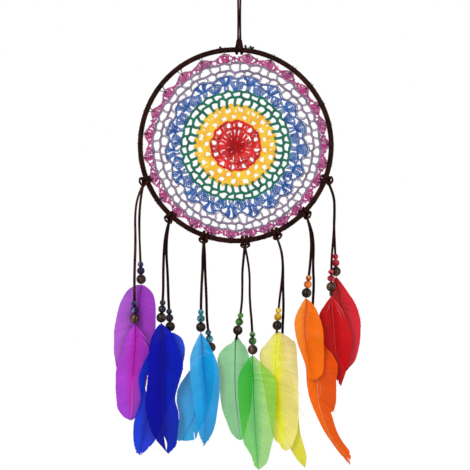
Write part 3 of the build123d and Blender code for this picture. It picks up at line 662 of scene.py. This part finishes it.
def tassel_knot(colour, angle):
    """A lark's head round the hoop, whose flat side faces away from the hoop's line."""
    turned = math.radians(angle)
    outward = np.array([math.sin(turned), 0, -math.cos(turned)])
    along = np.array([math.cos(turned), 0, math.sin(turned)])
    axes = np.stack([outward, along, FRONT])
    middle = HOOP_MIDDLE + outward * RING_RADIUS
    ends = [axes @ (pivot_of(f"{colour}_{side}_swing") - middle) for side in ("left", "right")]
    ends.sort(key=lambda end: -end[2])
    half, other = (HALF_KNOT + chance.normal(0, 0.18, HALF_KNOT.shape) for _ in range(2))
    points = [ends[0], *half, KNOT_BAR, *(other[::-1] * (1, -1, 1)), ends[1]]
    local = evenly(flow(points, 8), 0.4)
    away = local * (1, 0, 1) @ axes
    away /= np.maximum(np.linalg.norm(away, axis=1, keepdims=True), 1.0)
    line = middle + local @ axes
    skin = Skin().tube(line, soft_oblong(*KNOT_LACE), facing(line, away), angle)
    skin.piece("knot_" + colour, SUEDE, "hoop", "tassel_knots", "lace")


# Above the hoop's top: the bight, and where the head's lace ends
BIGHT_RISE = 10.9
HEAD_RISE = 9.6


def hanger():
    top = HOOP_TURN[2]
    hoop_top = HOOP_ROCK[2]
    split = hoop_top + 11
    half = HALF_HEAD + (HOOP_ROCK[0], 0, hoop_top)
    stand = np.array([(-0.5, 0, top + 2.4), (-1.15, 0, top), (-1.0, -0.95, (top + split) / 2), (-1.2, 0, split)])
    bight = (0, -2.2, hoop_top + BIGHT_RISE)
    line = np.vstack([stand, half, bight, half[::-1] * (-1, 1, 1), stand[::-1] * (-1, -1, 1)])
    line = evenly(flow(line, 10), 0.4)
    low = np.flatnonzero(line[:, 2] < hoop_top + HEAD_RISE)
    strands = line[:low[0] + 1], line[low[-1]:]
    head = (line[low[0]:low[-1] + 1],)
    for name, runs, finish, node in (("hanger_lace", strands, BROWN_SUEDE, "hanger_strands"),
                                     ("hanger_head", head, SUEDE, "hanger_larks_head")):
        skin = Skin()
        for run in runs:
            girth = np.interp(run[:, 2], [hoop_top, split + 6], [1.25, 0.95])
            skin.tube(run, soft_oblong(*HANGER_LACE) * girth[:, None, None], carried(run, FRONT))
        skin.piece(name, finish, "hanger_cord", node, "lace")


def hanging_loop():
    """The loop that goes over a hook, and the overhand knot under it."""
    reach = half_size("hanging_eye") - LOOP_INSET
    turn = np.radians(np.linspace(-172, 172, 90))
    drop = np.maximum(np.abs(turn) - 2.4, 0) * 3.4
    loop = stacked(reach * np.sin(turn), 0.35 * np.sin(turn), reach * np.cos(turn) - drop)
    middle = node_middle("eye_knot")
    knot = evenly(flow(EYE_KNOT + middle, 8), 0.35)
    for name, line, section, away, node in (
            ("hanging_loop", loop, LOOP_LACE, stacked(np.sin(turn), 0, np.cos(turn)), "hanging_eye"),
            ("eye_knot_lace", knot, EYE_LACE, (knot - middle) * (1, 1, 0.3), "eye_knot")):
        skin = Skin().tube(line, soft_oblong(*section), facing(line, away))
        skin.piece(name, SUEDE, "hanger", node, "lace")


# Web


WEB_DROP = 0.8
UNEVENNESS = 0.42
YARN_STEP = 0.5
PLY_LIFT = 0.4
# By the clock's angle: how far the middle of the lilac mesh is drawn in, and how far the tips reach out.
MESH_SLACK = [(0, 3.8), (30, 2.1), (60, 0.7), (90, 0), (120, 0.6), (150, 0.2), (180, -1.1), (210, -0.2),
              (240, 2.8), (270, 2.1), (300, 2.2), (330, 2.2), (360, 3.8)]
TIP_REACH = [(0, 0), (60, 0.3), (90, 1.1), (150, 1.3), (180, 1.3), (210, 0.6), (240, 0), (360, 0)]


def on_web(angle, radius):
    """A place on the web: the rows are swung a little, uneven, and pulled in at the top and the upper left."""
    reach = radius / TIP_RADIUS
    uneven = np.sin(np.radians(19 * angle) + radius * 0.55) + np.sin(np.radians(31 * angle) - radius * 0.8 + 1)
    aside = np.sin(np.radians(23 * angle) - radius * 0.6 + 2) + np.sin(np.radians(37 * angle) + radius * 0.75)
    slack = UNEVENNESS * np.clip(radius / 24, 0, 1)
    seen = angle + 8.4 * reach * wave(angle + 38) + np.degrees(aside * slack / np.maximum(radius, 5))
    pull = 3.5 * np.exp(-((off_clock(angle, 316) / 26) ** 2)) * np.clip(reach * 4 - 3, 0, 1)
    pull += np.interp(seen % 360, *zip(*MESH_SLACK)) * np.interp(radius, [67, 77, 81, 90], [0, 1, 0.9, 0.1])
    pull -= np.interp(seen % 360, *zip(*TIP_REACH)) * np.interp(radius, [80, 91], [0, 1])
    wander = 0.4 * wave(7 * angle + 40) + 0.35 * wave(13 * angle + 80)
    out = radius - pull + bulge(seen) * reach**2 + wander * (1.05 - reach)
    out = out + uneven * slack * np.clip((TIP_RADIUS + 1 - radius) / 6, 0, 1)
    place_at = HOOP_MIDDLE + clock(seen, out)
    place_at[..., 2] -= WEB_DROP * (1 - reach)
    return place_at


def plait(skin, route, strands, width, thread=0.45, pitch=5.0, flare=0.0, front=0.0):
    """Yarn plies plaited along a route of web angles and radii. Width may taper, and flare
    widens both ends, where the stitch is pulled through its neighbours."""
    line = evenly(on_web(*flow(route, 4).T), YARN_STEP) + FRONT * front
    normals, sides = facing(line, FRONT)
    width = np.linspace(*width, len(line)) if isinstance(width, tuple) else width
    width = width * (1 + flare * np.linspace(-1, 1, len(line)) ** 4)
    start = chance.uniform(0, 1)
    mark = chance.uniform(0, 40)
    for k in range(strands):
        turn = 2 * math.pi * (distances(line) / pitch + k / strands + start)
        strand = line + (width * np.cos(turn))[:, None] * sides
        strand = strand + (PLY_LIFT * np.sin((strands - 1) * turn))[:, None] * normals
        skin.tube(strand, ply(thread), facing(strand, FRONT), mark + k)


def chain_round(skin, radius, strands=3, width=0.5, thread=0.45, pitch=5.0, scallop=(1, 0, 0)):
    """A closed row of chain, which may bow between the posts that pull it."""
    count, first, depth = scallop
    angles = np.linspace(0, 360, 361)
    radius = radius + depth * wave(count * (angles - first) + 90)
    for waves in (17, 29, 43):
        radius = radius + 0.12 * wave(waves * angles + chance.uniform(0, 360))
    plait(skin, stacked(angles, radius), strands, width, thread, pitch)


def stitch(skin, foot, head, strands=2, width=0.6, thread=0.45, pitch=4.5, flare=0.4, front=0.0):
    """One tall stitch between two places, each an angle and a radius."""
    foot, head = np.array([foot, head]) + chance.normal(0, (0.45, 0.22), (2, 2))
    plait(skin, [foot, (foot + head) / 2, head], strands, width, thread, pitch, flare, front)


def fan(skin, middle, pairs, foot_radius, head_radius, *sizes):
    """Stitches that spread from a middle angle; pairs are the right half's feet and heads, from it outwards."""
    for foot, head in [(-foot, -head) for foot, head in reversed(pairs)] + pairs:
        stitch(skin, (middle + foot, foot_radius), (middle + head, head_radius(head)), *sizes)


def red_round(skin):
    core = Skin()
    chain_round(core, 1.3, 2, 0.5, 0.55)
    for i in range(16):
        stitch(core, (22.5 * i, 1.8), (22.5 * i + 4, 9.8), 3, (0.3, 1.4), 0.62, flare=0)
    core.piece("crochet_core", CORE_YARN, "hoop", "web_red", "yarn_red")
    chain_round(skin, 9.6, 3, 0.5, 0.5)
    for i in range(24):
        angle = 15 * i + 3 + chance.normal(0, 1.8)
        head = chance.uniform(15.4, 17.4)
        stitch(skin, (angle, 9.8), (angle, head), 3, (0.95, chance.uniform(1.1, 1.9)), 0.6, flare=0.5)
    chain_round(skin, 18.0, 3, 1.2, 0.62)
    for i in range(12):
        for aside in (-7.6, -2.7, 2.7, 7.6):
            angle = 24.5 + 30 * i + aside
            stitch(skin, (angle, 18.4), (angle, 25.0), 2, 0.85, 0.62, flare=0.5)
    chain_round(skin, RED_EDGE - 1.4, 3, 1.05, 0.6, scallop=(12, 24.5, -0.5))


def yellow_round(skin):
    for foot, head, first, spread in ((26.6, 33.0, 25.6, 3.7), (33.4, 40.8, 16.0, 4.1)):
        for i in range(18):
            for aside in (-spread, 0, spread):
                angle = first + 20 * i + aside
                stitch(skin, (angle, foot), (angle, head), 3, 0.95, 0.6, flare=0.6)
    chain_round(skin, 27.0, 3, 0.5, 0.55)
    chain_round(skin, 33.2, 3, 1.3, 0.6)
    chain_round(skin, YELLOW_EDGE - 1.4, 3, 1.2, 0.6, scallop=(36, 16.4, -0.8))


def green_round(skin):
    for i in range(36):
        inner = 16.4 + 10 * i
        outer = 13.4 + 10 * i
        stitch(skin, (inner, YELLOW_EDGE - 1.6), (inner, 48.8), 3, 1.05, 0.58, flare=1.0, front=0.5)
        stitch(skin, (outer, 49.2), (outer, GREEN_EDGE - 0.6), 3, 0.9, 0.55, flare=1.9)
    chain_round(skin, 49.0, 3, 0.9, 0.58, scallop=(36, 16.4, -0.35))
    chain_round(skin, GREEN_EDGE - 0.9, 3, 0.8, 0.58, scallop=(36, 13.4, -0.3))


# The blue fans: how many, the first one's clock angle, and their wavy edge as offsets from a
# fan's middle and radii.
FANS = 18
FIRST_FAN = 8.4
FAN_EDGE = [(0, 73.8), (4.5, 72.3), (7, 69.3), (10, 68.2)]


def fan_edge(offset):
    return np.interp(np.abs((offset + 10) % 20 - 10), *zip(*FAN_EDGE))


def fan_edge_row(skin, lift, *sizes):
    angles = np.linspace(0, 360, FANS * 12 + 1)
    plait(skin, stacked(angles + FIRST_FAN, fan_edge(angles) + lift), 2, *sizes)


def blue_round(skin):
    for i in range(FANS):
        middle = FIRST_FAN + 20 * i
        inner = middle + 10
        fan(skin, inner, [(0.6, 1.2), (1.9, 3.6), (3.2, 5.9)], GREEN_EDGE + 0.3,
            lambda head: 64.8 - abs(head) * 0.2, 2, 0.88, 0.56)
        plait(skin, [(inner - 9, 62.4), (inner - 5, 64.0), (inner, 65.4), (inner + 5, 64.0),
                     (inner + 9, 62.4)], 2, 0.7, 0.5)
        fan(skin, middle, [(1.2, 0.9)], GREEN_EDGE + 0.2, lambda head: 63.2, 2, 0.9, 0.54)
        fan(skin, middle, [(0.6, 2.0), (1.2, 3.7), (1.8, 5.2)], 62.4,
            lambda head: fan_edge(head) - 0.4, 2, (0.6, 1.0), 0.56)
        stitch(skin, (inner, 65.4), (inner, 68.2), 2, 0.8, 0.5)
    fan_edge_row(skin, -0.4, 0.5, 0.46)


def lilac_round(skin):
    for i in range(3 * FANS):
        offset = 20 / 3 * i
        angle = FIRST_FAN + offset
        stitch(skin, (angle, fan_edge(offset) + 0.6), (angle, 79.0), 2, 0.8, 0.52, 6, 2.2)
        angle += 10 / 3
        stitch(skin, (angle, 79.2), (angle, LILAC_EDGE - 0.6), 2, 0.8, 0.52, 6, 2.2)
    fan_edge_row(skin, 1.0, 0.5, 0.4, 6)
    chain_round(skin, 79.1, 3, 0.9, 0.5, 6, (54, FIRST_FAN, -0.35))
    chain_round(skin, LILAC_EDGE - 0.7, 3, 0.9, 0.5, 6, (54, 11.7, -0.35))


SHELLS = 27
SHELL_ANGLES = 2.5 + 360 / SHELLS * np.arange(SHELLS)


def magenta_round(skin):
    for shell in SHELL_ANGLES:
        fan(skin, shell, [(0.4, 0.5), (1.1, 1.6), (1.9, 2.7)], LILAC_EDGE,
            lambda head: 93.4 - abs(head) * 0.5, 2, 0.9, 0.62)
        for side in (-1, 1):
            for foot, head, top, *sizes in ((3.6, 4.9, 91.2, 0.7, 0.46), (5.9, 4.4, 91.0, 0.6, 0.44),
                                            (2.6, 6.4, 89.4, 0.5, 0.42)):
                stitch(skin, (shell + foot * side, LILAC_EDGE), (shell + head * side, top), 2, *sizes)
        dip = chance.uniform(88.4, 89.8) + 1
        arc = [(-6.67, 89.3), (-4.4, dip), (-2, 93.2), (0, 94.0), (2, 93.2), (4.4, dip), (6.67, 89.3)]
        plait(skin, arc + np.array([shell, 0]), 2, 0.55, 0.42)


TIED_AT = 92.2  # the lashing's radius on the web
THREAD_SPREAD = 1.1


def lashing():
    """Dark thread that ties each shell's tip to the hoop, two turns each, with a knot."""
    skin = Skin()
    around = WRAP_RADIUS + 0.45
    for i, shell in enumerate(SHELL_ANGLES):
        from_middle = on_web(shell, TIED_AT) - HOOP_MIDDLE
        outward = unit(from_middle * (1, 0, 1))
        along = np.array([outward[2], 0, -outward[0]])
        axes = np.stack([outward, along, FRONT])
        inset = np.linalg.norm(from_middle) - RING_RADIUS
        apart = THREAD_SPREAD + 0.7 * max(0.0, -inset - 5.6)
        middle = HOOP_MIDDLE + outward * RING_RADIUS
        knot = np.linspace(-THREAD_SPREAD, THREAD_SPREAD, 9)[:, None] * along
        line = middle + outward * inset + FRONT * 0.5 + knot
        skin.rod(line, 0.75 * swell(np.linspace(0.12, 0.88, 9)), 8, i)
        for lean in (-apart, apart):
            lean += chance.normal(0, 0.25)
            loop = [(inset, 0, 0.7), (-around * 0.75, lean * 0.8, around * 0.7), (0, lean, around + 0.1),
                    (around * 0.8, lean, around * 0.7), (around * 0.95, lean * 1.2, -around * 0.4),
                    (0, lean * 1.2, -around), (-around * 0.75, lean * 0.7, -around * 0.7), (inset, 0, -0.7)]
            skin.rod(evenly(middle + flow(loop, 6) @ axes, 0.5), 0.32 + 0.07 * (apart - THREAD_SPREAD), mark=i)
    skin.piece("thread_lashing", THREAD, "hoop", "web_lashing", "thread")


def cut_ends():
    """Knotted thread ends that stand up on the hoop's top, and the dried glue between two."""
    skin = Skin()
    for shift, tall, lean in ((-15.4, 2.4, -0.3), (10.2, 3.2, -0.9), (14.4, 2.8, 0.3), (15.6, 1.8, 2.4)):
        angle = math.degrees(math.asin(shift / RING_RADIUS))
        root = HOOP_MIDDLE + clock(angle, RING_RADIUS + WRAP_RADIUS - 0.4)
        line = root + np.array([(0, 0, 0), (lean / 2, -0.4, tall / 2), (lean, 0, tall)])
        line = evenly(flow(line, 6), 0.25)
        skin.rod(line, 0.8 + 0.45 * swell(np.linspace(0, 1, len(line)) ** 1.4), 10, shift)
    skin.piece("cut_ends", THREAD, "hoop", "thread_ends", "thread")
    line = HOOP_MIDDLE + clock(np.linspace(6.1, 8.9, 24), RING_RADIUS + WRAP_RADIUS - 0.3) + FRONT * 0.9
    drop = Skin().rod(line, 0.25 + 0.75 * swell(np.linspace(0, 1, 24)) ** 0.7, 14)
    drop.piece("glue_drop", GLUE, "hoop", "thread_ends", "thread")


# Strands: lace, beads and feather


BEAD_RINGS = 26
BEAD_SIDES = 36


def turned_bead(skin, middle, axis, radius, squash):
    """A bored wooden bead with softened rims."""
    bore = math.asin(BORE_RADIUS * 1.12 / radius)
    polar = np.linspace(bore, math.pi - bore, BEAD_RINGS)
    across = radius * np.sin(polar)
    up = radius * np.cos(polar) * squash
    rim = up[0] - 0.28
    edge = BORE_RADIUS * 1.04
    across = np.concatenate([[BORE_RADIUS, edge], across, [edge, BORE_RADIUS, BORE_RADIUS]])
    up = np.concatenate([[rim, up[0] - 0.08], up, [-up[0] + 0.08, -rim, rim]])
    points = middle - up[:, None, None] * axis + across[:, None, None] * ring_round(axis, full_turn(BEAD_SIDES))
    skin.grid(points, points - middle, closed=True)


def lace_profile():
    """The closed section that the hanging laces are drawn with."""
    data = bpy.data.curves.new("lace_profile", "CURVE")
    data.dimensions = "2D"
    spline = data.splines.new("POLY")
    corners = soft_oblong(*HANGING_LACE) * MM
    spline.points.add(len(corners) - 1)
    for point, (across, along) in zip(spline.points, corners):
        point.co = (along, across, 0, 1)
    spline.use_cyclic_u = True
    made = linked("lace_profile", data)
    made.hide_render = True
    return made


COIL_TURNS = 5.5
COIL_REACH = 5.3, 9.0  # from the large bead's middle, down the lace
WIRE_RADIUS = 0.33
BARBS = 170
BARB_POINTS = 9
BARB_RISE = 0.11  # how much further down the edge a barb ends than it starts on the rachis
BARB_BEND = 0.14
FEATHER_TOP = 5.2  # below the large bead's middle
FEATHER_BOW = 0.8  # to the front
TOP_BEHIND = 1.6  # how far back a feather starts whose top the lace's end covers
SIDES = -1, 1


class Strand:
    """One hanging lace with its beads and feather."""

    stub, crimped, squash = 0, False, 1.0
    ragged, splits, parted, highlight_barbs, loose = 0.0, [], (None, 0, 1, 0), [], {}

    def __init__(self, name):
        vars(self).update(STRANDS[name])
        self.name = name
        self.body = "strand_" + name
        self.feather = "feather_" + name
        self.colour = name.rsplit("_", 1)[0]
        pivot = pivot_of(name + "_swing")
        self.route = np.array(self.route) + (pivot[0], 0, pivot[2])
        self.bead = self.route[-1]
        self.axis = unit(self.route[-1] - self.route[-2])
        self.covered = 0 if self.crimped else self.stub
        foot = self.axis[[0, 2]] * (self.stub + 0.5 if self.crimped else FEATHER_TOP)
        lines = self.rachis, self.left, self.right
        self.spine, *self.edges = (flow([foot, *line, self.tip], 12) for line in lines)

    def hang(self, profile):
        """The lace as one smooth curve on its route's points, in metres."""
        points = [*self.route[:-1], self.bead + self.axis * self.stub]
        data = bpy.data.curves.new("lace_" + self.name, "CURVE")
        data.dimensions = "3D"
        data.bevel_mode = "OBJECT"
        data.bevel_object = profile
        data.use_fill_caps = True
        data.twist_mode = "MINIMUM"
        data.resolution_u = 14
        spline = data.splines.new("NURBS")
        spline.points.add(len(points) - 1)
        twists = np.cumsum(chance.uniform(-0.5, 0.5, len(points)))
        for point, at, twist in zip(spline.points, points, twists):
            point.co = (*(at * MM), 1)
            point.tilt = twist
        spline.order_u = 3
        spline.use_endpoint_u = True
        finish = BROWN_SUEDE if self.colour == "purple" else HANGING_SUEDE
        made = dressed("lace_" + self.name, data, finish, self.body, "cord_" + self.name)

    def thread_beads(self):
        rise = 0.0
        for size, radius in BEAD_RADII.items():
            half = math.sqrt(radius**2 - BORE_RADIUS**2)
            finish, slot, squash = BEADS[self.colour], "beads_" + self.colour, self.squash
            if size == "large":
                finish, slot, squash = BRONZE_BEAD if self.colour == "purple" else DARK_BEAD, None, 1.0
            else:
                rise += half
            skin = Skin()
            turned_bead(skin, self.bead - self.axis * rise, self.axis, radius, squash)
            skin.piece(f"bead_{size}_{self.name}", finish, self.body, "beads_" + self.name, slot)
            rise += half + BEAD_GAP

    def coil_crimp(self):
        """A coil of wire round the lace's end under the large bead."""
        turn = np.linspace(0, 2 * math.pi * COIL_TURNS, 200)
        drop = np.linspace(*COIL_REACH, 200)[:, None]
        across = HANGING_LACE[0] / 2 + 0.35
        line = self.bead + drop * self.axis + across * ring_round(self.axis, turn)
        skin = Skin().tube(line, ply(WIRE_RADIUS, 8), carried(line, self.axis))
        skin.piece("crimp_coil", WIRE, self.body, "feather_crimp", "crimp_wire")

    def lifted(self, flat, share, curl):
        """Flat places, sideways and down, set at the feather's depth and curled."""
        lift = curl + FEATHER_BOW * swell(share)
        lift = lift - TOP_BEHIND * bool(self.covered) * np.clip(1 - share * 5, 0, 1)
        return stacked(self.bead[0] + flat[..., 0], self.bead[1] - lift, self.bead[2] + flat[..., 1])

    def barbs(self, share, side, reach, slip):
        """Barbs as curves from the rachis to an edge, a row of points each."""
        roots = along_line(self.spine, share * 0.985)
        which, first, last, width = self.parted
        if which == side:
            gap = width * swell(np.clip((share - first) / (last - first), 0, 1))
            roots = roots + stacked(gap * SIDES[side], 0)
        ahead = unit(along_line(self.spine, np.clip(share + 0.01, 0, 1)) - along_line(self.spine, share - 0.01))
        ends = along_line(self.edges[side], np.clip(share + BARB_RISE * swell(share) ** 0.8, 0, 1))
        ends = roots + (ends - roots) * reach[:, None] + ahead * slip[:, None]
        span = np.linalg.norm(ends - roots, axis=-1, keepdims=True)
        bend = (roots + ends) / 2 - ahead * span * BARB_BEND
        t = np.linspace(0, 1, BARB_POINTS)[None, :, None]
        return (1 - t) ** 2 * roots[:, None] + 2 * t * (1 - t) * bend[:, None] + t**2 * ends[:, None]

    def vane(self, skin, side):
        share = np.linspace(0.012, 1, BARBS)
        number = np.arange(BARBS)
        fray = chance.normal(0, 0.006, BARBS) + 0.008 * np.sin(share * 30 + chance.uniform(0, 6))
        jags = np.repeat(chance.uniform(-1, 0.3, BARBS // 3 + 1), 3)[:BARBS]
        fray += self.ragged * jags * np.clip((share - 0.82) / 0.08, 0, 1)
        slip = np.zeros(BARBS)
        kept = np.ones((BARBS - 1, BARB_POINTS - 1), bool)
        for _, at, depth, gap in (split for split in self.splits if split[0] == side):
            parting = int(at * BARBS)
            kept[parting, depth:] = False
            away = number - parting - 0.5
            slip += np.sign(away) * np.exp(-np.abs(away) / 5) * gap
        t = np.linspace(0, 1, BARB_POINTS)
        curl = self.curls[side] * t**2 + 0.05 * (-1.0) ** number[:, None] * t
        points = self.lifted(self.barbs(share, side, 1 + fray, slip), share[:, None], curl)
        lay = stacked(t * 15, number[:, None] + SIDE_MARK * side, SIDES[side] * t)
        way = SIDES[side]
        skin.grid(points[:, ::way], lay[:, ::way], kept=kept[:, ::way].ravel())

    def strip(self, skin, flat, at, side, width, lift=None):
        """A single barb as a thin tapering strip."""
        ahead = unit(np.gradient(flat, axis=0))
        across = stacked(-ahead[:, 1], ahead[:, 0]) * width[:, None]
        t = np.linspace(0, 1, len(flat))[:, None]
        curl = self.curls[side] * t**2 + 0.2 if lift is None else lift
        points = self.lifted(np.stack([flat - across, flat + across], axis=1), at, curl)
        skin.grid(points, stacked(t * 15, at * BARBS + SIDE_MARK * side, SIDES[side] * t))

    def wisps(self, skin, side):
        """Loose single barbs that stand out of the vane's edge."""
        count, first, last, reach = self.loose.get(side, (2, 0.03, 0.4, 0.05))
        share = np.sort(chance.uniform(first, last, count))
        reach = 1 + reach * chance.uniform(0.3, 1.0, count)
        for flat, at in zip(self.barbs(share, side, reach, chance.normal(0, 1.0, count)), share):
            self.strip(skin, flat, at, side, np.linspace(0.18, 0.09, BARB_POINTS))

    # Paler single barbs laid over a vane: painted highlights where barb edges catch the light.
    def painted_highlight_barbs(self):
        skin = Skin()
        width = 0.26 * swell(np.linspace(0.1, 0.95, BARB_POINTS))
        for start, end in np.array(self.highlight_barbs):
            run = end - start
            middle = (start + end) / 2 + 0.06 * np.array([-run[1], run[0]])
            flat = along_line(flow([start, middle, end], 8), np.linspace(0, 1, BARB_POINTS))
            self.strip(skin, flat, 0.2, 1, width, 0.5)
        # A paler tint of the vane's dye, painted as the barbs' highlight.
        paler = [255 - (255 - c) * 0.66 for c in self.dyes[2]]
        finish = plain_finish("painted_highlight_barb_" + self.name, paler, Roughness=0.5, Specular_IOR_Level=0.2)
        skin.piece("painted_highlight_barbs_" + self.name, finish, self.body, self.feather, self.feather)

    def dress_feather(self):
        """Two vanes of barbs with loose wisps, the rachis, and any paler barbs painted as highlights."""
        skin = Skin()
        for side in (0, 1):
            self.vane(skin, side)
            self.wisps(skin, side)
        finish = feather_finish(self.feather, self.density, self.dyes)
        skin.piece("vane_" + self.name, finish, self.body, self.feather, self.feather)
        spine = evenly(self.spine, 1.0)
        share = distances(spine) / distances(spine)[-1]
        top = self.bead + self.axis * (self.covered + 1.5)
        girth = np.append(0.5, np.interp(share, [0, 0.1, 0.6, 1], [0.52, 0.45, 0.3, 0.12]))
        shaft = Skin().rod(np.vstack([top, self.lifted(spine, share, 0.0)]), girth, 8)
        finish = plain_finish("rachis_" + self.name, *self.shaft, Roughness=0.45, Specular_IOR_Level=0.2)
        shaft.piece("rachis_" + self.name, finish, self.body, self.feather, self.feather)
        if self.highlight_barbs:
            self.painted_highlight_barbs()


# Camera, light and floor, in metres

AIM = Vector((-0.0043, 0.0, -0.2565))
VIEW_DISTANCE = 1.332
FLOOR_LEVEL = -0.62


def camera():
    data = bpy.data.cameras.new("camera")
    data.lens = 100
    data.sensor_width = 36
    made = linked("camera", data)
    made.location = AIM + Vector((0, -VIEW_DISTANCE, 0))
    made.rotation_euler = (math.pi / 2, 0, 0)
    bpy.context.scene.camera = made


def softbox(name, place_at, width, height, power):
    data = bpy.data.lights.new(name, "AREA")
    data.shape = "RECTANGLE"
    data.size, data.size_y, data.energy = width, height, power
    made = linked(name, data)
    made.location = place_at
    made.rotation_mode = "QUATERNION"
    made.rotation_quaternion = (AIM - Vector(place_at)).to_track_quat("-Z", "Y")


def studio():
    """A white surround, a key from the upper left, a fill from the right, and a floor."""
    softbox("key_light", (-0.8, -1.3, 0.5), 0.55, 0.55, 11.5)
    softbox("fill_light", (1.1, -1.1, -0.1), 0.7, 0.9, 4.0)
    world = bpy.data.worlds.new("surround")
    bpy.context.scene.world = world
    world.use_nodes = True
    tree = world.node_tree
    tree.nodes.clear()
    rays = place(tree, "LightPath").outputs
    seen = worked(tree, "MAXIMUM", rays["Is Camera Ray"], rays["Is Glossy Ray"])
    seen = worked(tree, "MAXIMUM", seen, rays["Is Transmission Ray"])
    surround = place(tree, "Background", Color=(1, 1, 1, 1), Strength=ranged(tree, seen, 0, 1, 0.55, 1.0))
    place(tree, "OutputWorld", Surface=surround.outputs[0])
    mesh = bpy.data.meshes.new("floor")
    corners = [(x, y, FLOOR_LEVEL) for x, y in ((-3, -3), (3, -3), (3, 0.62), (-3, 0.62))]
    mesh.from_pydata(corners, [], [(0, 1, 2, 3)])
    mesh.materials.append(bare_finish("floor", Roughness=0.9, Base_Color=(0.86, 0.86, 0.86, 1))[0])
    linked("floor", mesh)


bpy.context.scene.view_settings.view_transform = "Standard"
camera()
studio()
profile = lace_profile()
for strand in map(Strand, STRANDS):
    strand.hang(profile)
    strand.thread_beads()
    strand.dress_feather()
    if strand.crimped:
        strand.coil_crimp()
hoop_winding()
for colour, angle in KNOT_ANGLES.items():
    tassel_knot(colour, angle)
hanger()
hanging_loop()
for colour, fill in zip(YARNS, (red_round, yellow_round, green_round, blue_round, lilac_round, magenta_round)):
    skin = Skin()
    fill(skin)
    skin.piece("crochet_" + colour, YARNS[colour], "hoop", "web_" + colour, "yarn_" + colour)
lashing()
cut_ends()
